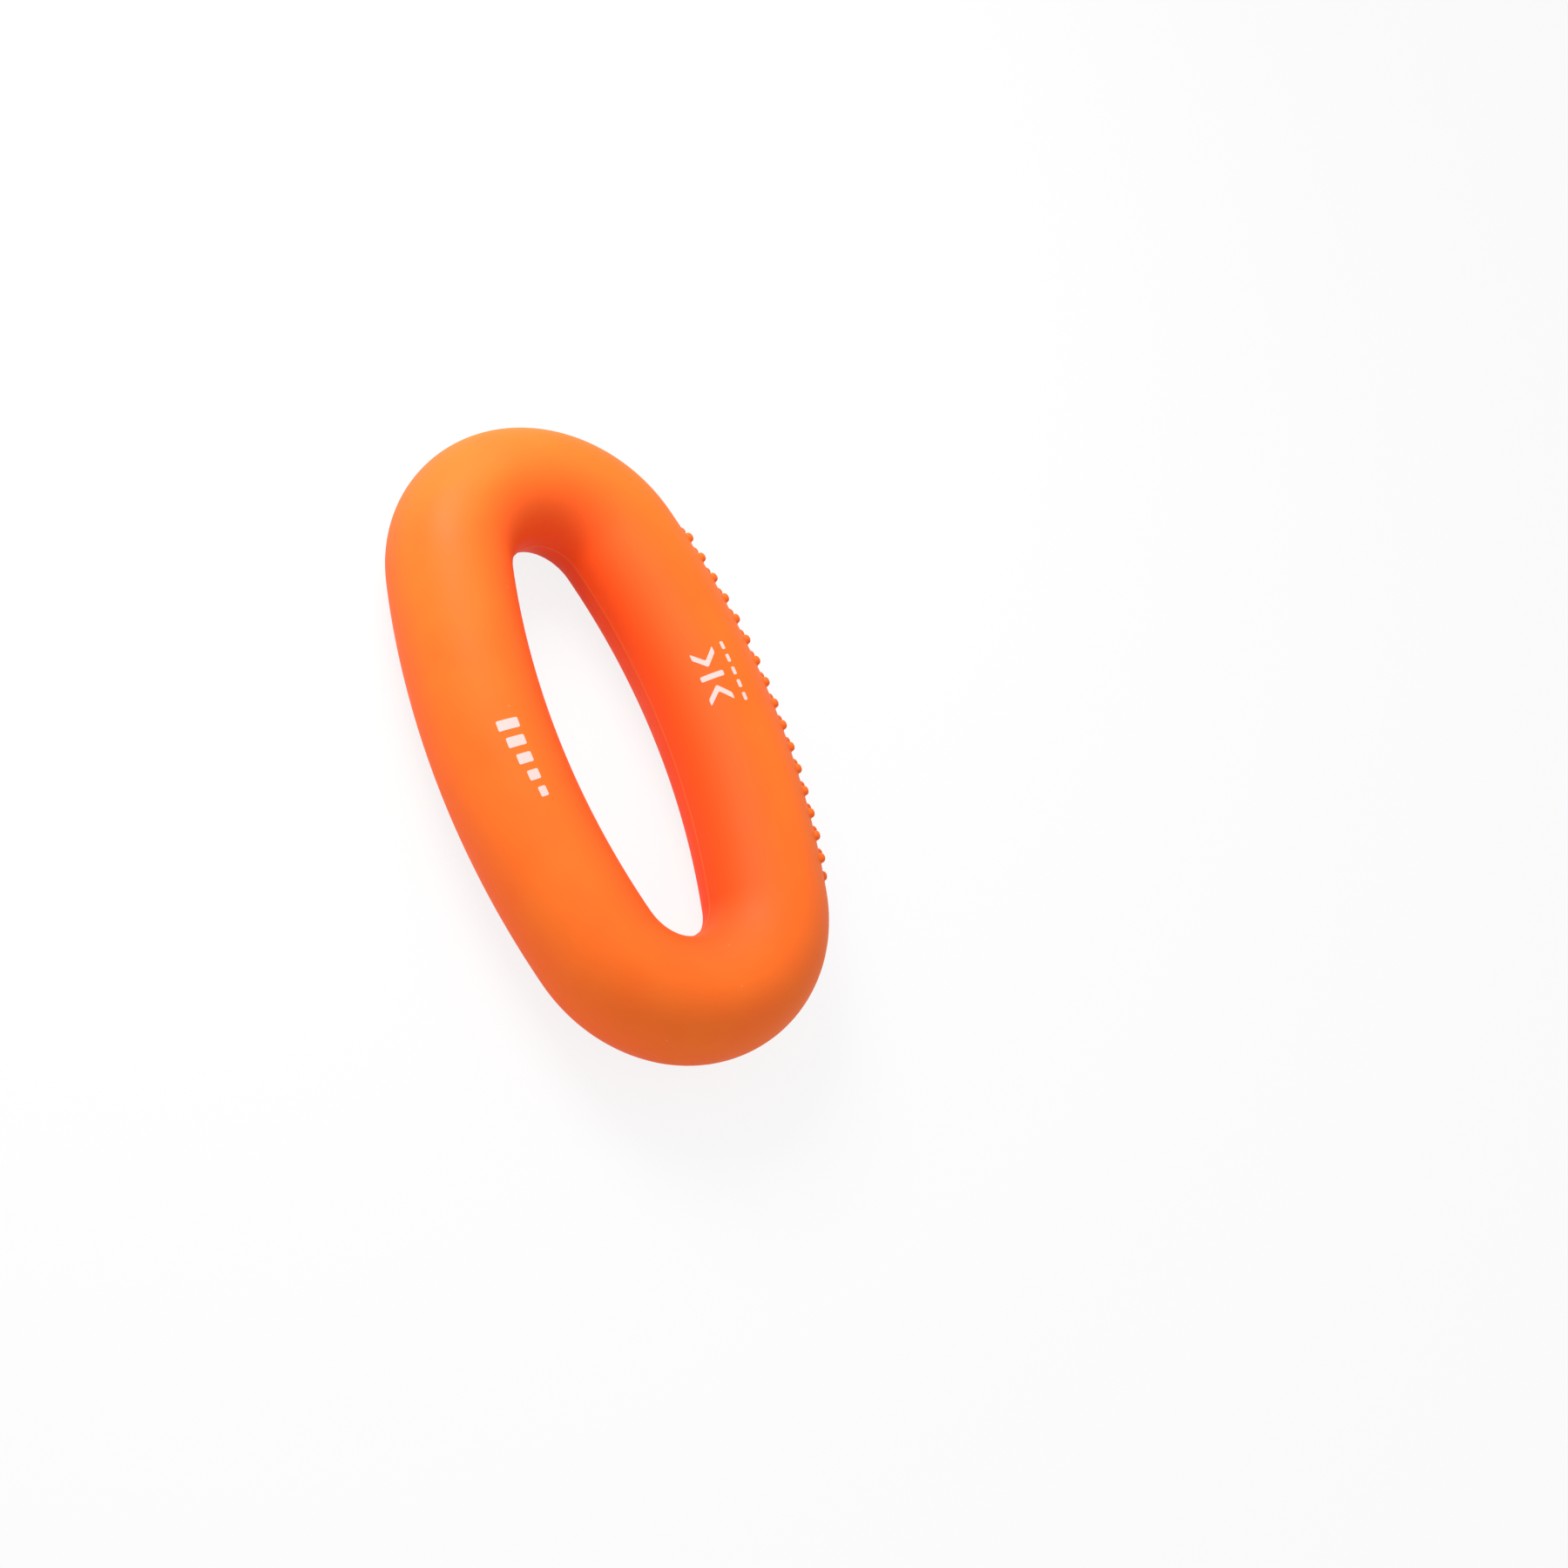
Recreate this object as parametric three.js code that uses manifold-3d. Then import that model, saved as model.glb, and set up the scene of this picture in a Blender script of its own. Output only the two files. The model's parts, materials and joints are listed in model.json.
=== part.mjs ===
// Hand grip strengthener: one oval ring of solid silicone, squeezed between the palm and the fingers.
// Millimetres, +Z up. The ring lies flat on Z = 0. X runs across it, from the finger side (-X) to the
// palm side (+X), and Y along it, from the lower bend (-Y) to the upper bend (+Y).
// The moulding has no parts that come off. It is divided where it flexes when it is squeezed: each side
// stays nearly straight, each end keeps its bend, and the shoulders between them turn.

import * as THREE from 'three';
import * as BufferGeometryUtils from 'three/addons/utils/BufferGeometryUtils.js';
import loadManifold from 'manifold-3d';

// The ring
const RING_LENGTH = 125;
const RING_WIDTH = 70;
const SECTION_DIAMETER = 23;
const END_BEND_RADIUS = 19.3; // of the tube's centreline round each end

// Where the ring flexes, as distances along the centreline from the middle of a side
const SIDE_HINGE_AT = 19.76; // midway between two columns of studs
const BEND_HINGE_AT = 49;
const FLEX_GAP = 0.3; // left between neighbouring zones

// The massage studs on the outside of the palm side
const STUD_DIAMETER = 1.7;
const STUD_HEIGHT = 1;
const STUD_ROOT_DEPTH = 0.4; // sunk into the tube
const STUD_PITCH = 4.5; // along a row, measured on the tube's outside
const STUD_ROW_STEP = STUD_PITCH * Math.sin(Math.PI / 3); // round the tube: three neighbours make an even triangle
const STUD_ROWS = 5;
const STUDS_IN_OUTER_ROW = 16; // and one more in the rows beside it, half a pitch further on

// Facets
const SECTION_SIDES = 28; // a multiple of 4, so that a flat facet lies on Z = 0
const LONGEST_STEP_ON_SIDE = 4.5;
const LONGEST_STEP_ON_END = 2;
const STUD_SIDES = 8;
const STUD_DOME_STEPS = 3;
const WELD_DISTANCE = 1e-4; // corners nearer than this are one corner

const SILICONE = { color: 0xff6a1e, roughness: 0.5, metalness: 0 };

// The centreline is an oval of four arcs: a long flat one on each side and a tight one round each end.
const TUBE_RADIUS = SECTION_DIAMETER / 2;
const HALF_LENGTH = RING_LENGTH / 2 - TUBE_RADIUS;
const HALF_WIDTH = RING_WIDTH / 2 - TUBE_RADIUS;
const END_CENTRE_Y = HALF_LENGTH - END_BEND_RADIUS;
const SIDE_BEND_RADIUS =
  (HALF_WIDTH ** 2 + END_CENTRE_Y ** 2 - END_BEND_RADIUS ** 2) /
  (2 * (HALF_WIDTH - END_BEND_RADIUS));
const SIDE_CENTRE_X = HALF_WIDTH - SIDE_BEND_RADIUS;
const SIDE_HALF_ANGLE = Math.atan2(END_CENTRE_Y, -SIDE_CENTRE_X);
const SIDE_HALF_LENGTH = SIDE_BEND_RADIUS * SIDE_HALF_ANGLE;
const QUARTER = SIDE_HALF_LENGTH + END_BEND_RADIUS * (Math.PI / 2 - SIDE_HALF_ANGLE);
const HALF_WAY = 2 * QUARTER;
const WHOLE_WAY = 4 * QUARTER;

// The centre of the tube and its outward direction, at a distance along the centreline that starts in
// the middle of the palm side and runs towards the upper bend.
function placeOnRing(distance) {
  const along = THREE.MathUtils.euclideanModulo(distance, WHOLE_WAY);
  const quarter = Math.floor(along / QUARTER);
  const travelled = along - quarter * QUARTER;
  const fromSide = quarter % 2 === 0 ? travelled : QUARTER - travelled;
  const onSide = fromSide < SIDE_HALF_LENGTH;
  const angle = onSide
    ? fromSide / SIDE_BEND_RADIUS
    : SIDE_HALF_ANGLE + (fromSide - SIDE_HALF_LENGTH) / END_BEND_RADIUS;
  const radius = onSide ? SIDE_BEND_RADIUS : END_BEND_RADIUS;
  const x = (onSide ? SIDE_CENTRE_X : 0) + radius * Math.cos(angle);
  const y = (onSide ? 0 : END_CENTRE_Y) + radius * Math.sin(angle);
  const signX = quarter === 0 || quarter === 3 ? 1 : -1;
  const signY = quarter < 2 ? 1 : -1;
  return {
    centre: new THREE.Vector3(signX * x, signY * y, TUBE_RADIUS),
    outward: new THREE.Vector3(signX * Math.cos(angle), signY * Math.sin(angle), 0),
  };
}

// One stretch of the centreline, as the path that a section follows.
class RingStretch extends THREE.Curve {
  constructor(from, to) {
    super();
    this.from = from;
    this.to = to;
  }

  getPoint(t, target = new THREE.Vector3()) {
    return target.copy(placeOnRing(THREE.MathUtils.lerp(this.from, this.to, t)).centre);
  }
}

// The round section, drawn with a flat facet at the top and at the bottom.
function roundSection() {
  const corner = TUBE_RADIUS / Math.cos(Math.PI / SECTION_SIDES);
  const section = new THREE.Shape();
  for (let i = 0; i < SECTION_SIDES; i += 1) {
    const angle = ((i + 0.5) * 2 * Math.PI) / SECTION_SIDES;
    const draw = i === 0 ? 'moveTo' : 'lineTo';
    section[draw](corner * Math.cos(angle), corner * Math.sin(angle));
  }
  return section;
}

// The tube between two distances, with half the gap taken off each end.
function tubeBetween(from, to, longestStep) {
  const path = new RingStretch(from + FLEX_GAP / 2, to - FLEX_GAP / 2);
  const steps = Math.ceil((to - from) / longestStep);
  return new THREE.ExtrudeGeometry(roundSection(), { steps, extrudePath: path });
}

// A stud: a rounded dome on a short root, turned about the axis that stands square on the tube.
function studDome() {
  const radius = STUD_DIAMETER / 2;
  const profile = [
    new THREE.Vector2(0, -STUD_ROOT_DEPTH),
    new THREE.Vector2(radius, -STUD_ROOT_DEPTH),
  ];
  for (let i = 0; i < STUD_DOME_STEPS; i += 1) {
    const rise = (i / STUD_DOME_STEPS) * (Math.PI / 2);
    profile.push(new THREE.Vector2(radius * Math.cos(rise), STUD_HEIGHT * Math.sin(rise)));
  }
  profile.push(new THREE.Vector2(0, STUD_HEIGHT));
  return new THREE.LatheGeometry(profile, STUD_SIDES);
}

// The places of the studs. Each row is centred on the middle of the side, so the longer rows between the
// others fall half a pitch out of step with them.
function studPlaces() {
  const places = [];
  const pitchOnCentreline = (STUD_PITCH * SIDE_BEND_RADIUS) / (SIDE_BEND_RADIUS + TUBE_RADIUS);
  const rowTurn = STUD_ROW_STEP / TUBE_RADIUS;
  for (let row = 0; row < STUD_ROWS; row += 1) {
    const studsInRow = STUDS_IN_OUTER_ROW + (row % 2);
    for (let i = 0; i < studsInRow; i += 1) {
      places.push({
        distance: (i - (studsInRow - 1) / 2) * pitchOnCentreline,
        turn: (row - (STUD_ROWS - 1) / 2) * rowTurn,
      });
    }
  }
  return places;
}

// A stud's dome moved to its place on the tube.
function placedStud({ distance, turn }) {
  const { centre, outward } = placeOnRing(distance);
  const up = new THREE.Vector3(0, 0, 1);
  const normal = outward.clone().multiplyScalar(Math.cos(turn)).addScaledVector(up, Math.sin(turn));
  const foot = centre.clone().addScaledVector(normal, TUBE_RADIUS);
  const lean = new THREE.Quaternion().setFromUnitVectors(new THREE.Vector3(0, 1, 0), normal);
  const place = new THREE.Matrix4().compose(foot, lean, new THREE.Vector3(1, 1, 1));
  return studDome().applyMatrix4(place);
}

const manifold = await loadManifold();
manifold.setup();

function toSolid(geometry) {
  const bare = geometry.clone();
  bare.deleteAttribute('normal');
  bare.deleteAttribute('uv');
  const merged = BufferGeometryUtils.mergeVertices(bare, WELD_DISTANCE);
  return new manifold.Manifold(
    new manifold.Mesh({
      numProp: 3,
      vertProperties: Float32Array.from(merged.getAttribute('position').array),
      triVerts: Uint32Array.from(merged.getIndex().array),
    }),
  );
}

function toGeometry(solid) {
  const { vertProperties, triVerts, numProp } = solid.getMesh();
  const geometry = new THREE.BufferGeometry();
  const interleaved = new THREE.InterleavedBuffer(vertProperties, numProp);
  geometry.setAttribute('position', new THREE.InterleavedBufferAttribute(interleaved, 3, 0));
  geometry.setIndex(new THREE.BufferAttribute(triVerts, 1));
  const flat = geometry.toNonIndexed();
  flat.computeVertexNormals();
  return flat;
}

// The tube with the studs that stand between its ends.
function studdedTube(tube, from, to) {
  const within = ({ distance }) => distance > from && distance < to;
  const studs = studPlaces().filter(within).map(placedStud);
  const solid = studs.reduce((whole, stud) => whole.add(toSolid(stud)), toSolid(tube));
  return toGeometry(solid);
}

function zone(name, from, to, { longestStep, studded = false }) {
  const tube = tubeBetween(from, to, longestStep);
  const geometry = studded ? studdedTube(tube, from, to) : tube;
  const mesh = new THREE.Mesh(geometry, new THREE.MeshStandardMaterial(SILICONE));
  mesh.name = name;
  return mesh;
}

// The zones, from the palm side round both ends to the finger side. A distance below the ring's axis is
// minus the one above it.
const side = { longestStep: LONGEST_STEP_ON_SIDE };
const end = { longestStep: LONGEST_STEP_ON_END };
const studdedSide = { ...side, studded: true };
const studdedEnd = { ...end, studded: true };

const gripRing = new THREE.Group();
gripRing.add(
  zone('palm_bar', -SIDE_HINGE_AT, SIDE_HINGE_AT, studdedSide),
  zone('upper_palm_shoulder', SIDE_HINGE_AT, BEND_HINGE_AT, studdedEnd),
  zone('upper_bend', BEND_HINGE_AT, HALF_WAY - BEND_HINGE_AT, end),
  zone('upper_finger_shoulder', HALF_WAY - BEND_HINGE_AT, HALF_WAY - SIDE_HINGE_AT, end),
  zone('upper_finger_bar', HALF_WAY - SIDE_HINGE_AT, HALF_WAY, side),
  zone('lower_palm_shoulder', -BEND_HINGE_AT, -SIDE_HINGE_AT, studdedEnd),
  zone('lower_bend', BEND_HINGE_AT - HALF_WAY, -BEND_HINGE_AT, end),
  zone('lower_finger_shoulder', SIDE_HINGE_AT - HALF_WAY, BEND_HINGE_AT - HALF_WAY, end),
  zone('lower_finger_bar', -HALF_WAY, SIDE_HINGE_AT - HALF_WAY, side),
);

export default gripRing;
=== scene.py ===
import json
import math

import bmesh
import bpy
from mathutils import Matrix, Vector

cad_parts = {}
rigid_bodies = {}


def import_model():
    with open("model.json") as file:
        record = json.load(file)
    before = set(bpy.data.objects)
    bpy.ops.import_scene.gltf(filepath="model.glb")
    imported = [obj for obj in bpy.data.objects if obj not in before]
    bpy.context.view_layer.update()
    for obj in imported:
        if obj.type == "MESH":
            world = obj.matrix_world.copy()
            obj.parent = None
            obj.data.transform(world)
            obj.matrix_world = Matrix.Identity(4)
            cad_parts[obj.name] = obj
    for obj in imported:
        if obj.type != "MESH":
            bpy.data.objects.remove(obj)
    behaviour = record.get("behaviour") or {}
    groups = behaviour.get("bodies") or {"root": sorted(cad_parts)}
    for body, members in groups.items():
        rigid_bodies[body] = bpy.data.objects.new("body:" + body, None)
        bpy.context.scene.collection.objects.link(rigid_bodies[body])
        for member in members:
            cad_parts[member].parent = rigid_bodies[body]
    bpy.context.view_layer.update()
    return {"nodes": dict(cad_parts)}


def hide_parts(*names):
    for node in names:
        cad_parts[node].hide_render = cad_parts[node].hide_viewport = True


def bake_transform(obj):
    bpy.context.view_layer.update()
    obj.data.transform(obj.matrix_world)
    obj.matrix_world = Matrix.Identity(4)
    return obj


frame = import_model()
mm = 0.001
nearby = 0.02  # millimetres within which two places are the same
print("frame loaded:", len(frame["nodes"]), "solids")

# the ring as the solids have it, in millimetres and degrees
ring = {
    "length": 125,
    "width": 70,
    "thickness": 23,
    "endRadius": 19.3,  # of the centreline round each end
    "corners": 80,  # of the section
    "sideStep": 1.15,  # between two sections on a side
    "endStep": 2.5,  # degrees between two sections round an end
    "seamAt": 32,  # along the centreline from the middle of a side
    "smoothBelow": 50,  # degrees between two faces
}
tube = ring["thickness"] / 2
halfLength = ring["length"] / 2 - tube
halfWidth = ring["width"] / 2 - tube
endY = halfLength - ring["endRadius"]
sideRadius = (halfWidth**2 + endY**2 - ring["endRadius"] ** 2) / (2 * (halfWidth - ring["endRadius"]))
sideX = halfWidth - sideRadius
sideAngle = math.atan2(endY, -sideX)
sideLength = sideRadius * sideAngle


def deselectAll():
    if bpy.context.mode != "OBJECT":
        bpy.ops.object.mode_set(mode="OBJECT")
    bpy.ops.object.select_all(action="DESELECT")


def makeActive(obj):
    deselectAll()
    obj.select_set(True)
    bpy.context.view_layer.objects.active = obj


def startEdit(obj, kind="VERT"):
    makeActive(obj)
    bpy.ops.object.mode_set(mode="EDIT")
    bpy.ops.mesh.select_mode(type=kind)
    bpy.ops.mesh.select_all(action="DESELECT")


def endEdit():
    bpy.ops.object.mode_set(mode="OBJECT")


def pickVerts(obj, test):
    bm = bmesh.from_edit_mesh(obj.data)
    for v in bm.verts:
        v.select = test(v.co / mm)
    bm.select_flush_mode()
    bmesh.update_edit_mesh(obj.data)


def pickFaces(obj, test):
    bm = bmesh.from_edit_mesh(obj.data)
    for f in bm.faces:
        f.select = test(f.calc_center_median() / mm)
    bm.select_flush_mode()
    bmesh.update_edit_mesh(obj.data)


# how far along the centreline a point is from the middle of its side: 0 to a quarter of the way round
def alongQuarter(co):
    turn = math.atan2(abs(co.y) - endY, abs(co.x))
    if turn > sideAngle:
        return sideLength + ring["endRadius"] * (turn - sideAngle)
    return sideRadius * math.atan2(abs(co.y), abs(co.x) - sideX)


# the tube's centre and its outward direction, on the palm side (sign 1) or the finger side (sign -1)
def onSide(sign, distance):
    angle = distance / sideRadius
    outward = Vector((sign * math.cos(angle), sign * math.sin(angle), 0))
    return Vector((sign * sideX, 0, tube)) + outward * sideRadius, outward


# bends a flat shape onto the tube: its X runs along the ring, its Y round the tube, and its Z stands off it
def wrapOnTube(obj, sign, distance, turn, heading=0):
    turned = Matrix.Rotation(math.radians(heading), 3, "Z")
    for v in obj.data.vertices:
        flat = turned @ v.co / mm
        centre, outward = onSide(sign, distance + flat.x)
        angle = math.radians(turn) + flat.y / tube
        normal = outward * math.cos(angle) + Vector((0, 0, math.sin(angle)))
        v.co = (centre + normal * (tube + flat.z)) * mm
    obj.data.update()


# the line that the mould leaves along the middle of the section: a fine ridge inside, a fine groove outside
parting = {
    "halfWidth": 0.3,
    "inside": 0.12,
    "outside": -0.04,
    "outsideShare": 0.3,  # of the mark that it has inside
}

deselectAll()
bpy.ops.mesh.primitive_circle_add(
    vertices=ring["corners"],
    radius=tube * mm,
    location=(halfWidth * mm, 0, tube * mm),
    rotation=(math.radians(90), 0, 0),
)
wholeRing = bpy.context.object
wholeRing.name = "wholeRing"
bpy.ops.object.transform_apply(location=True, rotation=True, scale=True)


def pickCrest(crest):
    pickVerts(wholeRing, lambda co: abs(co.x - crest) < nearby and abs(co.z - tube) < nearby)


# the corner on the parting line becomes three, and the middle one moves
for sign, rise in ((-1, parting["inside"]), (1, parting["outside"])):
    crest = halfWidth + sign * tube
    startEdit(wholeRing)
    pickCrest(crest)
    bpy.ops.mesh.bevel(offset=parting["halfWidth"] * mm, affect="VERTICES", segments=2)
    pickCrest(crest)
    bpy.ops.transform.translate(value=(sign * rise * mm, 0, 0))
endEdit()

# the section is spun round the centre of each arc in turn, from the middle of the palm side
palmCentre = (sideX * mm, 0, 0)
fingerCentre = (-sideX * mm, 0, 0)
upperCentre = (0, endY * mm, 0)
lowerCentre = (0, -endY * mm, 0)
seamAngle = ring["seamAt"] / sideRadius
endAngle = math.pi / 2 - sideAngle
sideSteps = math.ceil(ring["seamAt"] / ring["sideStep"])
shoulderSteps = math.ceil((sideLength - ring["seamAt"]) / ring["sideStep"])
endSteps = math.ceil(math.degrees(endAngle) / ring["endStep"])
sideTurn = (seamAngle, sideSteps)
shoulderTurn = (sideAngle - seamAngle, shoulderSteps)
endTurn = (endAngle, endSteps)
spins = [
    (palmCentre, sideTurn),
    (palmCentre, shoulderTurn),
    (upperCentre, endTurn),
    (upperCentre, endTurn),
    (fingerCentre, shoulderTurn),
    (fingerCentre, sideTurn),
    (fingerCentre, sideTurn),
    (fingerCentre, shoulderTurn),
    (lowerCentre, endTurn),
    (lowerCentre, endTurn),
    (palmCentre, shoulderTurn),
    (palmCentre, sideTurn),
]
startEdit(wholeRing)
bpy.ops.mesh.select_all(action="SELECT")
for centre, (angle, steps) in spins:
    bpy.ops.mesh.spin(steps=steps, angle=angle, use_auto_merge=False, center=centre, axis=(0, 0, -1))
bpy.ops.mesh.select_all(action="SELECT")
bpy.ops.mesh.remove_doubles(threshold=nearby * mm)
bpy.ops.mesh.normals_make_consistent(inside=False)
endEdit()
bpy.ops.object.shade_smooth()
print("ring spun:", len(wholeRing.data.polygons), "faces")

# what the surface keeps when it is divided: its normal, how far it faces the hole (which sets the painted
# shade there), and the parting line
keptKinds = {"wholeNormal": "FLOAT_VECTOR", "towardsHole": "FLOAT", "partingLine": "FLOAT"}
for name, kind in keptKinds.items():
    wholeRing.data.attributes.new(name, kind, "POINT")
wholeNormal, towardsHole, partingLine = [wholeRing.data.attributes[name].data for name in keptKinds]
for v in wholeRing.data.vertices:
    place = v.co / mm
    if alongQuarter(place) > sideLength:
        arcCentre = Vector((0, math.copysign(endY, place.y)))
    else:
        arcCentre = Vector((math.copysign(sideX, -place.x), 0))
    outward = (place.to_2d() - arcCentre).normalized()
    facing = -v.normal.to_2d().dot(outward)
    wholeNormal[v.index].vector = v.normal
    towardsHole[v.index].value = facing
    if abs(place.z - tube) < nearby:
        partingLine[v.index].value = 1 if facing > 0 else parting["outsideShare"]

# the ring is divided between its hinges, and each cut is closed
quadrants = [
    (side, half, signX, signY)
    for half, signY in (("Upper", 1), ("Lower", -1))
    for side, signX in (("palm", 1), ("finger", -1))
]
zones = ("Bend", "Grip")
pieces = {}
for side, half, signX, signY in quadrants:
    for zone in zones:
        startEdit(wholeRing, "FACE")
        pickFaces(
            wholeRing,
            lambda co: co.x * signX > 0
            and co.y * signY > 0
            and (alongQuarter(co) > ring["seamAt"]) == (zone == "Bend"),
        )
        before = set(bpy.data.objects)
        if len(pieces) < len(quadrants) * len(zones) - 1:  # the last piece is what is left
            bpy.ops.mesh.separate(type="SELECTED")
        endEdit()
        piece = (set(bpy.data.objects) - before or {wholeRing}).pop()
        piece.name = side + zone + half
        piece.data.name = piece.name
        pieces[piece.name] = piece
for piece in pieces.values():
    startEdit(piece, "EDGE")
    bpy.ops.mesh.select_non_manifold(extend=False)
    bpy.ops.mesh.fill_holes(sides=0)
    bpy.ops.mesh.select_all(action="SELECT")
    bpy.ops.mesh.normals_make_consistent(inside=False)
    endEdit()
print("ring divided:", ", ".join(sorted(pieces)))

# a massage stud: (radius, height) of each of its rings, from the root inside the tube to the crown
stud = {
    "sides": 12,
    "rings": [
        (1.2, -0.3),
        (1.25, -0.006),
        (1.05, 0.02),
        (0.93, 0.12),
        (0.87, 0.38),
        (0.74, 0.65),
        (0.46, 0.87),
    ],
    "crown": 0.09,  # above the last ring
    "pitch": 4.5,  # along a row, on the outside of the tube
    "rows": 5,
    "inOuterRow": 16,  # and one more in the rows beside it
}
deselectAll()
radius, height = stud["rings"][0]
bpy.ops.mesh.primitive_circle_add(
    vertices=stud["sides"], radius=radius * mm, fill_type="NGON", location=(0, 0, height * mm)
)
oneStud = bpy.context.object
bpy.ops.object.transform_apply(location=True, rotation=True, scale=True)
bpy.ops.object.mode_set(mode="EDIT")
bpy.ops.mesh.select_all(action="SELECT")
for nextRadius, nextHeight in stud["rings"][1:]:
    bpy.ops.mesh.extrude_region_move(TRANSFORM_OT_translate={"value": (0, 0, (nextHeight - height) * mm)})
    bpy.ops.transform.resize(value=(nextRadius / radius, nextRadius / radius, 1))
    radius, height = nextRadius, nextHeight
bpy.ops.mesh.poke(offset=stud["crown"] * mm)
bpy.ops.mesh.select_all(action="SELECT")
bpy.ops.mesh.normals_make_consistent(inside=False)
endEdit()

studPitch = stud["pitch"] * sideRadius / (sideRadius + tube)  # on the centreline
rowStep = stud["pitch"] * math.sqrt(3) / 2  # three neighbours make an even triangle
rowTurn = math.degrees(rowStep / tube)
studsOf = {name: [] for name in pieces if name.startswith("palm")}
for row in range(stud["rows"]):
    inRow = stud["inOuterRow"] + row % 2
    for i in range(inRow):
        distance = (i - (inRow - 1) / 2) * studPitch
        copy = oneStud.copy()
        copy.data = oneStud.data.copy()
        bpy.context.collection.objects.link(copy)
        wrapOnTube(copy, 1, distance, (row - (stud["rows"] - 1) / 2) * rowTurn)
        zone = "Grip" if abs(distance) < ring["seamAt"] else "Bend"
        half = "Upper" if distance >= 0 else "Lower"
        studsOf["palm" + zone + half].append(copy)
bpy.data.objects.remove(oneStud)
for name, studs in studsOf.items():
    makeActive(pieces[name])
    for copy in studs:
        copy.select_set(True)
    bpy.ops.object.join()
print("studs set:", {name: len(studs) for name, studs in studsOf.items()})

# a corner on a seam keeps the normal that it had on the whole ring, so the seams don't show
for piece in pieces.values():
    makeActive(piece)
    bpy.ops.object.shade_smooth_by_angle(angle=math.radians(ring["smoothBelow"]))
    kept = piece.data.attributes["wholeNormal"].data
    normals = [Vector((0, 0, 0)) for _ in piece.data.loops]  # 0 leaves a corner's normal as it is
    for face in piece.data.polygons:
        if len(face.vertices) > stud["sides"]:  # only the faces that close a cut have so many corners
            continue
        for i in face.loop_indices:
            v = piece.data.vertices[piece.data.loops[i].vertex_index]
            place = v.co / mm
            fromSeam = min(abs(place.x), abs(place.y), abs(alongQuarter(place) - ring["seamAt"]))
            if fromSeam < nearby and kept[v.index].vector.length > 0:  # a stud's corners kept none
                normals[i] = kept[v.index].vector.copy()
    piece.data.normals_split_custom_set(normals)

# the marks are drawn flat and then bent onto the tube
markPrint = {
    "sunk": 0.03,
    "proud": 0.04,
    "corner": 0.28,
    "cut": 0.55,  # between two cuts across a mark, so that it can bend
    "smoothBelow": 40,
}
strength = {
    "bars": 5,
    "barLength": 1.9,
    "gap": 1.4,
    "shortest": 1.5,
    "tallest": 4.1,
    "along": 3.3,  # from the middle of its side
    "turn": 78,  # degrees round the tube, from its outside towards its top
    "heading": 180,  # degrees on the surface
}
squeeze = {
    "chevronSlant": 2.3,
    "chevronStroke": 1.35,
    "height": 4.6,
    "middleBar": 1.1,
    "gap": 1.3,
    "along": 4.5,
    "turn": 111,
}
dashes = {"count": 5, "length": 1.6, "height": 0.75, "gap": 1.0, "along": 4.3, "turn": 88.5}


# a flat bar with its middle at x, y
def addPlate(x, y, length, height):
    deselectAll()
    bpy.ops.mesh.primitive_plane_add(size=1, location=(x * mm, y * mm, 0))
    plate = bpy.context.object
    plate.scale = (length * mm, height * mm, 1)
    bpy.ops.object.transform_apply(location=True, rotation=True, scale=True)
    return plate


# pointing along +X (way 1) or -X (way -1), with its tip at x
def addChevron(x, way):
    half = squeeze["height"] / 2
    stroke = squeeze["chevronStroke"]
    chevron = addPlate(x - way * stroke / 2, half / 2, stroke, half)
    startEdit(chevron)
    pickVerts(chevron, lambda co: co.y > half - nearby)
    bpy.ops.transform.translate(value=(-way * squeeze["chevronSlant"] * mm, 0, 0))
    pickVerts(chevron, lambda co: co.y < nearby)
    bpy.ops.mesh.extrude_region_move(
        TRANSFORM_OT_translate={"value": (-way * squeeze["chevronSlant"] * mm, -half * mm, 0)}
    )
    endEdit()
    return chevron


# rounds the corners, cuts the plate across so that it can bend, and gives it its thickness
def finishPlate(plate):
    startEdit(plate)
    bpy.ops.mesh.select_all(action="SELECT")
    bpy.ops.mesh.bevel(offset=markPrint["corner"] * mm, affect="VERTICES", segments=3)
    for axis in (0, 1):
        places = [v.co[axis] / mm for v in bmesh.from_edit_mesh(plate.data).verts]
        low, high = min(places), max(places)
        cuts = math.floor((high - low) / markPrint["cut"])
        for i in range(1, cuts):
            at = [0, 0, 0]
            at[axis] = (low + (high - low) * i / cuts) * mm
            bpy.ops.mesh.select_all(action="SELECT")
            bpy.ops.mesh.bisect(plane_co=at, plane_no=(axis == 0, axis == 1, 0))
    bpy.ops.mesh.select_all(action="SELECT")
    bpy.ops.transform.translate(value=(0, 0, -markPrint["sunk"] * mm))
    bpy.ops.mesh.extrude_region_move(
        TRANSFORM_OT_translate={"value": (0, 0, (markPrint["sunk"] + markPrint["proud"]) * mm)}
    )
    bpy.ops.mesh.select_all(action="SELECT")
    bpy.ops.mesh.normals_make_consistent(inside=False)
    endEdit()


def joinPlates(plates, name):
    for plate in plates:
        finishPlate(plate)
    makeActive(plates[0])
    for plate in plates[1:]:
        plate.select_set(True)
    bpy.ops.object.join()
    mark = bpy.context.object
    mark.name = name
    mark.data.name = name
    return mark


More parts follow.
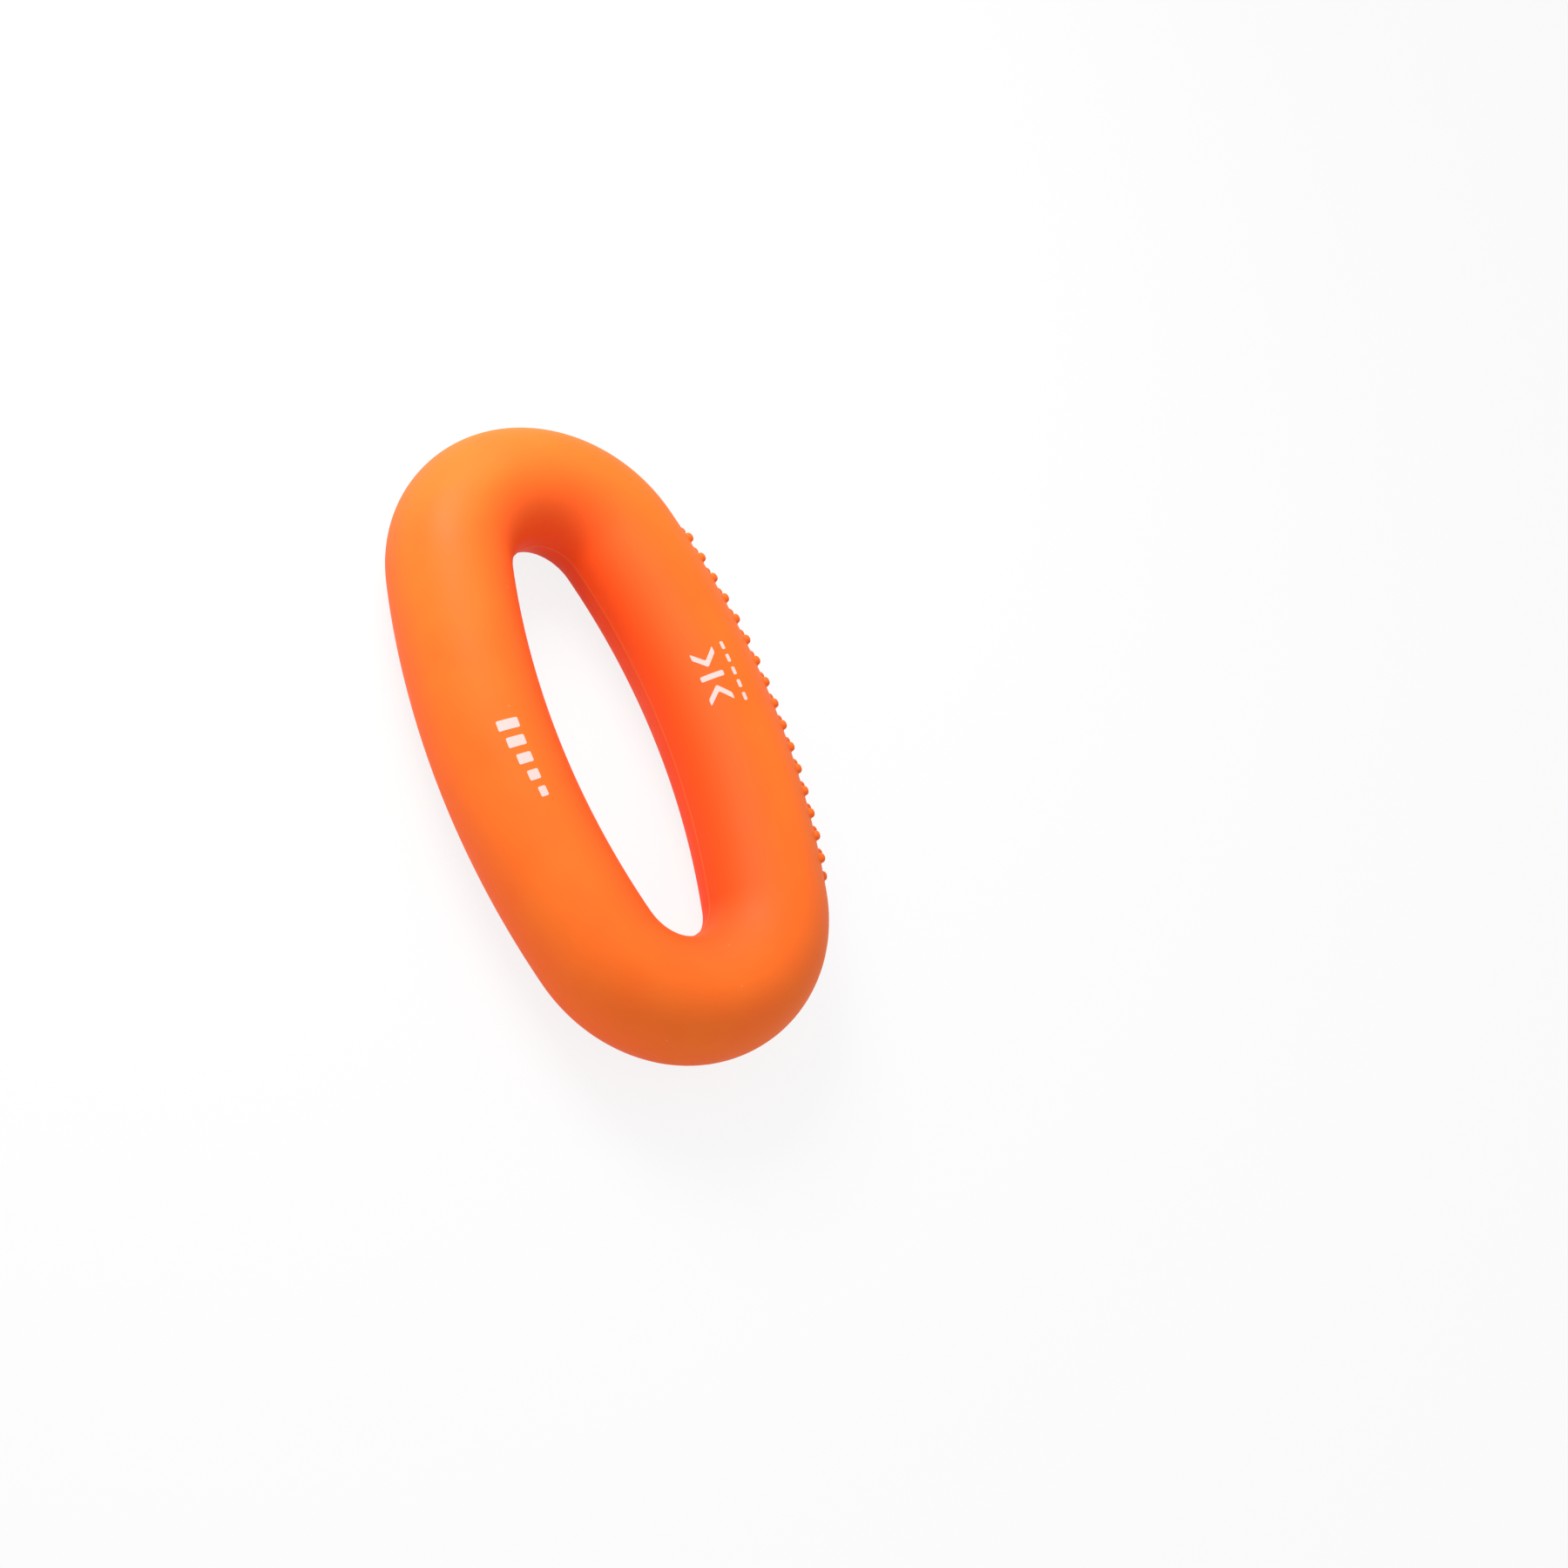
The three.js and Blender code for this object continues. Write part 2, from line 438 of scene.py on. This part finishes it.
# five bars that rise, for the ring's strength
barPitch = strength["barLength"] + strength["gap"]
barRise = (strength["tallest"] - strength["shortest"]) / (strength["bars"] - 1)
plates = []
for i in range(strength["bars"]):
    barHeight = strength["shortest"] + barRise * i
    x = (i - (strength["bars"] - 1) / 2) * barPitch
    plates.append(addPlate(x, (barHeight - strength["tallest"]) / 2, strength["barLength"], barHeight))
strengthMark = joinPlates(plates, "strengthMark")
wrapOnTube(strengthMark, -1, strength["along"], strength["turn"], strength["heading"])

# two chevrons that point at a bar, for the way to squeeze it
tip = squeeze["middleBar"] / 2 + squeeze["gap"]
plates = [
    addChevron(-tip, 1),
    addPlate(0, 0, squeeze["middleBar"], squeeze["height"]),
    addChevron(tip, -1),
]
squeezeMark = joinPlates(plates, "squeezeMark")
wrapOnTube(squeezeMark, 1, squeeze["along"], squeeze["turn"])

# and a row of dashes beside them
dashPitch = dashes["length"] + dashes["gap"]
plates = [
    addPlate((i - (dashes["count"] - 1) / 2) * dashPitch, 0, dashes["length"], dashes["height"])
    for i in range(dashes["count"])
]
dashMark = joinPlates(plates, "dashMark")
wrapOnTube(dashMark, 1, dashes["along"], dashes["turn"])

marks = [strengthMark, squeezeMark, dashMark]
for mark in marks:
    makeActive(mark)
    bpy.ops.object.shade_smooth_by_angle(angle=math.radians(markPrint["smoothBelow"]))
marksOn = {"fingerGripLower": [strengthMark], "palmGripUpper": [squeezeMark, dashMark]}
print("marks printed:", [mark.name for mark in marks])


def flexOver(piece):
    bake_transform(piece)


for side, half, signX, signY in quadrants:
    level = half.lower()
    shoulder, bend = f"{level}_{side}_shoulder", f"{level}_bend"
    if side == "palm":
        bar, barBody = "palm_bar", "palm_side"
    else:
        bar, barBody = f"{level}_finger_bar", f"{level}_finger_side"
    grip, turned = pieces[side + "Grip" + half], pieces[side + "Bend" + half]
    for piece in [grip] + marksOn.get(grip.name, []):
        flexOver(piece)
    flexOver(turned)
    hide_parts(bar, shoulder)
    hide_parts(shoulder, bend)


def addNode(tree, kind, at, **settings):
    node = tree.nodes.new(kind)
    node.location = at
    for name, value in settings.items():
        setattr(node, name, value)
    return node


def remap(tree, at, value, fromRange, toRange=(0, 1)):
    node = addNode(tree, "ShaderNodeMapRange", at)
    node.inputs["From Min"].default_value, node.inputs["From Max"].default_value = fromRange
    node.inputs["To Min"].default_value, node.inputs["To Max"].default_value = toRange
    tree.links.new(value, node.inputs["Value"])
    return node.outputs["Result"]


# a Mix node's factor, two colours and result are its sockets 0, 6, 7 and 2
def mixColours(tree, at, factor, first, second):
    node = addNode(tree, "ShaderNodeMix", at, data_type="RGBA")
    for socket, value in ((node.inputs[0], factor), (node.inputs[6], first), (node.inputs[7], second)):
        if isinstance(value, bpy.types.NodeSocket):
            tree.links.new(value, socket)
        else:
            socket.default_value = value
    return node.outputs[2]


# the skin that a satin mould leaves: fine grain, slow mottle and a little lint
skinNoise = {
    "grainDetail": 3,
    "grainRoughness": 0.6,
    "mottleDetail": 2,
    "lintEdge": (0.03, 0.015),  # of its spacing, where a speck starts and where it is full
}


def makeMouldSkin():
    group = bpy.data.node_groups.new("mouldSkin", "ShaderNodeTree")
    for name, default in (("grainSize", 0.0002), ("mottleSize", 0.012), ("lintSpacing", 0.006)):
        socket = group.interface.new_socket(name, in_out="INPUT", socket_type="NodeSocketFloat")
        socket.default_value = default
    for name in ("height", "mottle", "lint"):
        group.interface.new_socket(name, in_out="OUTPUT", socket_type="NodeSocketFloat")
    link = group.links.new
    given = addNode(group, "NodeGroupInput", (-900, 0))
    result = addNode(group, "NodeGroupOutput", (700, 0))
    coordinates = addNode(group, "ShaderNodeTexCoord", (-900, 300))

    def overOne(socket, at):
        node = addNode(group, "ShaderNodeMath", at, operation="DIVIDE")
        node.inputs[0].default_value = 1
        link(socket, node.inputs[1])
        return node.outputs[0]

    grain = addNode(group, "ShaderNodeTexNoise", (-400, 300))
    grain.inputs["Detail"].default_value = skinNoise["grainDetail"]
    grain.inputs["Roughness"].default_value = skinNoise["grainRoughness"]
    link(coordinates.outputs["Object"], grain.inputs["Vector"])
    link(overOne(given.outputs["grainSize"], (-650, 200)), grain.inputs["Scale"])
    link(grain.outputs["Fac"], result.inputs["height"])

    mottle = addNode(group, "ShaderNodeTexNoise", (-400, 0))
    mottle.inputs["Detail"].default_value = skinNoise["mottleDetail"]
    link(coordinates.outputs["Object"], mottle.inputs["Vector"])
    link(overOne(given.outputs["mottleSize"], (-650, -50)), mottle.inputs["Scale"])
    link(mottle.outputs["Fac"], result.inputs["mottle"])

    lint = addNode(group, "ShaderNodeTexVoronoi", (-400, -300))
    link(coordinates.outputs["Object"], lint.inputs["Vector"])
    link(overOne(given.outputs["lintSpacing"], (-650, -300)), lint.inputs["Scale"])
    speck = remap(group, (-150, -300), lint.outputs["Distance"], skinNoise["lintEdge"])
    link(speck, result.inputs["lint"])
    return group


mouldSkin = makeMouldSkin()


def startMaterial(name):
    material = bpy.data.materials.new(name)
    material.use_nodes = True
    return material, material.node_tree, material.node_tree.nodes["Principled BSDF"]


def placeSkin(tree, sizes):
    skin = addNode(tree, "ShaderNodeGroup", (-1300, 0), node_tree=mouldSkin)
    for name, size in sizes.items():
        skin.inputs[name].default_value = size
    return skin


def addBump(tree, shader, height, settings):
    bump = addNode(tree, "ShaderNodeBump", (-300, -400))
    for name, value in settings.items():
        bump.inputs[name].default_value = value
    tree.links.new(height, bump.inputs["Height"])
    tree.links.new(bump.outputs["Normal"], shader.inputs["Normal"])


# the silicone, with painted shade that makes it deeper in colour towards the hole and the table
rubber = {
    "skin": {"grainSize": 0.00018, "mottleSize": 0.014, "lintSpacing": 0.007},  # metres
    "mottle": (0.3, 0.7),  # the stretch of the noise that is used
    "body": (1.0, 0.152, 0.008, 1),
    "bodyPale": (1.0, 0.176, 0.012, 1),
    # painted shade and orange bounce light, on the sides that face the hole
    "inside": (1.0, 0.108, 0.01, 1),
    "insideShadeFrom": (-0.1, 0.9),  # facing the hole by so much, where the painted shade starts and where it is full
    # painted shade: redder lower down the ring, towards the table
    "shadeBelow": (1.0, 0.07, 0.005, 1),
    "shadeBelowFrom": (0.0165, 0.0035),  # the height in metres where it starts, and where it is full
    "shadeBelowShare": 0.55,
    "parting": (1.0, 0.26, 0.06, 1),
    "partingFrom": (0.2, 1),
    "partingShare": 0.7,
    "lint": (0.95, 0.6, 0.45, 1),
    "lintShare": 0.2,
    "roughness": (0.56, 0.68),
    "specular": 0.27,
    "bump": {"Distance": 0.00004, "Strength": 0.4},
}
silicone, tree, shader = startMaterial("satinSilicone")
skin = placeSkin(tree, rubber["skin"])
mottled = remap(tree, (-1200, 400), skin.outputs["mottle"], rubber["mottle"])
colour = mixColours(tree, (-1000, 300), mottled, rubber["body"], rubber["bodyPale"])

# painted shade: deeper in colour where the surface faces the hole
holeSide = addNode(tree, "ShaderNodeAttribute", (-1500, 600), attribute_name="towardsHole")
insideShade = remap(tree, (-1200, 650), holeSide.outputs["Fac"], rubber["insideShadeFrom"])
colour = mixColours(tree, (-800, 300), insideShade, colour, rubber["inside"])

# painted shade: redder lower down, towards the table
coordinates = addNode(tree, "ShaderNodeTexCoord", (-1500, 1200))
position = addNode(tree, "ShaderNodeSeparateXYZ", (-1300, 1200))
tree.links.new(coordinates.outputs["Object"], position.inputs[0])
shadeBelow = (0, rubber["shadeBelowShare"])
shadeBelowMix = remap(tree, (-1000, 1100), position.outputs["Z"], rubber["shadeBelowFrom"], shadeBelow)
colour = mixColours(tree, (-700, 500), shadeBelowMix, colour, rubber["shadeBelow"])

partingMask = addNode(tree, "ShaderNodeAttribute", (-1500, 900), attribute_name="partingLine")
partingShare = (0, rubber["partingShare"])
onLine = remap(tree, (-1200, 900), partingMask.outputs["Fac"], rubber["partingFrom"], partingShare)
colour = mixColours(tree, (-600, 300), onLine, colour, rubber["parting"])

linty = remap(tree, (-700, 0), skin.outputs["lint"], (0, 1), (0, rubber["lintShare"]))
colour = mixColours(tree, (-400, 300), linty, colour, rubber["lint"])
tree.links.new(colour, shader.inputs["Base Color"])

roughness = remap(tree, (-400, -100), skin.outputs["mottle"], rubber["mottle"], rubber["roughness"])
tree.links.new(roughness, shader.inputs["Roughness"])
addBump(tree, shader, skin.outputs["height"], rubber["bump"])
shader.inputs["Specular IOR Level"].default_value = rubber["specular"]
for piece in pieces.values():
    piece.data.materials.clear()
    piece.data.materials.append(silicone)

# the ink, worn through to the silicone in small spots
ink = {
    "skin": {"grainSize": 0.0002, "mottleSize": 0.0011},
    "body": (0.82, 0.6, 0.56, 1),
    "worn": (1.0, 0.42, 0.2, 1),
    "wornFrom": (0.62, 0.8),  # of the mottle's noise, where it starts and where it is full
    "wornShare": 0.5,
    "mottle": (0.3, 0.7),  # the stretch of the noise that is used for the roughness
    "roughness": (0.45, 0.6),
    "bump": {"Distance": 0.00002, "Strength": 0.3},
}
inkMaterial, tree, shader = startMaterial("printInk")
skin = placeSkin(tree, ink["skin"])
wear = remap(tree, (-900, 300), skin.outputs["mottle"], ink["wornFrom"], (0, ink["wornShare"]))
colour = mixColours(tree, (-600, 300), wear, ink["body"], ink["worn"])
tree.links.new(colour, shader.inputs["Base Color"])
roughness = remap(tree, (-400, -100), skin.outputs["mottle"], ink["mottle"], ink["roughness"])
tree.links.new(roughness, shader.inputs["Roughness"])
addBump(tree, shader, skin.outputs["height"], ink["bump"])
for mark in marks:
    mark.data.materials.append(inkMaterial)
print("materials made")

# the studio: the camera as the photograph has it, white paper, a softbox and an even sky
studio = {
    "lens": 75.94,
    "cameraAt": (-0.32639, -0.1457, 0.49454),
    "cameraTurn": (26.072, -29.182, -25.221),
    "cameraNearest": 0.01,  # nothing nearer to it is drawn
    "paperSize": 8,
    "paperWhite": (0.9, 0.9, 0.9, 1),
    "paperRoughness": 0.9,
    "paperGlow": 0.85,  # the share of the paper that the camera sees as plain white
    "skyLight": 0.63,
}
softbox = {"from": (-0.17, 0.7, 0.67), "away": 0.32, "size": 0.15, "power": 0.95}

camera = bpy.data.objects.new("camera", bpy.data.cameras.new("camera"))
camera.data.lens = studio["lens"]
camera.data.clip_start = studio["cameraNearest"]
camera.location = studio["cameraAt"]
camera.rotation_euler = [math.radians(angle) for angle in studio["cameraTurn"]]
bpy.context.scene.collection.objects.link(camera)
bpy.context.scene.camera = camera


# 1 where the camera, a reflection or a see-through piece sees the backdrop, 0 where it lights the object
def seenAsWhite(tree):
    path = addNode(tree, "ShaderNodeLightPath", (-900, 300))
    seen = path.outputs["Is Camera Ray"]
    for name, x in (("Is Glossy Ray", -700), ("Is Transmission Ray", -500)):
        either = addNode(tree, "ShaderNodeMath", (x, 300), operation="MAXIMUM")
        tree.links.new(seen, either.inputs[0])
        tree.links.new(path.outputs[name], either.inputs[1])
        seen = either.outputs[0]
    return seen


deselectAll()
bpy.ops.mesh.primitive_plane_add(size=studio["paperSize"], location=(0, 0, 0))
floor = bpy.context.object
floor.name = "floor"
paper, tree, shader = startMaterial("whitePaper")
shader.inputs["Base Color"].default_value = studio["paperWhite"]
shader.inputs["Roughness"].default_value = studio["paperRoughness"]
output = tree.nodes["Material Output"]
glow = addNode(tree, "ShaderNodeEmission", (0, -300))
share = addNode(tree, "ShaderNodeMath", (0, 300), operation="MULTIPLY")
share.inputs[1].default_value = studio["paperGlow"]
mixed = addNode(tree, "ShaderNodeMixShader", (300, 0))
tree.links.new(seenAsWhite(tree), share.inputs[0])
tree.links.new(share.outputs[0], mixed.inputs[0])
tree.links.new(shader.outputs[0], mixed.inputs[1])
tree.links.new(glow.outputs[0], mixed.inputs[2])
tree.links.new(mixed.outputs[0], output.inputs["Surface"])
floor.data.materials.append(paper)

lamp = bpy.data.lights.new("softbox", "AREA")
lamp.size = softbox["size"]
lamp.energy = softbox["power"]
lampObject = bpy.data.objects.new("softbox", lamp)
lampObject.location = Vector(softbox["from"]).normalized() * softbox["away"]
lampObject.rotation_euler = (-lampObject.location).to_track_quat("-Z", "Y").to_euler()
lampObject.visible_camera = False  # it stands near enough to come into other views
bpy.context.scene.collection.objects.link(lampObject)

sky = bpy.data.worlds.new("studioSky")
bpy.context.scene.world = sky
sky.use_nodes = True
tree = sky.node_tree
background = tree.nodes["Background"]
background.inputs["Color"].default_value = (1, 1, 1, 1)
skyStrength = remap(tree, (-200, 0), seenAsWhite(tree), (0, 1), (studio["skyLight"], 1))
tree.links.new(skyStrength, background.inputs["Strength"])

bpy.context.scene.view_settings.view_transform = "Standard"
print("studio set")
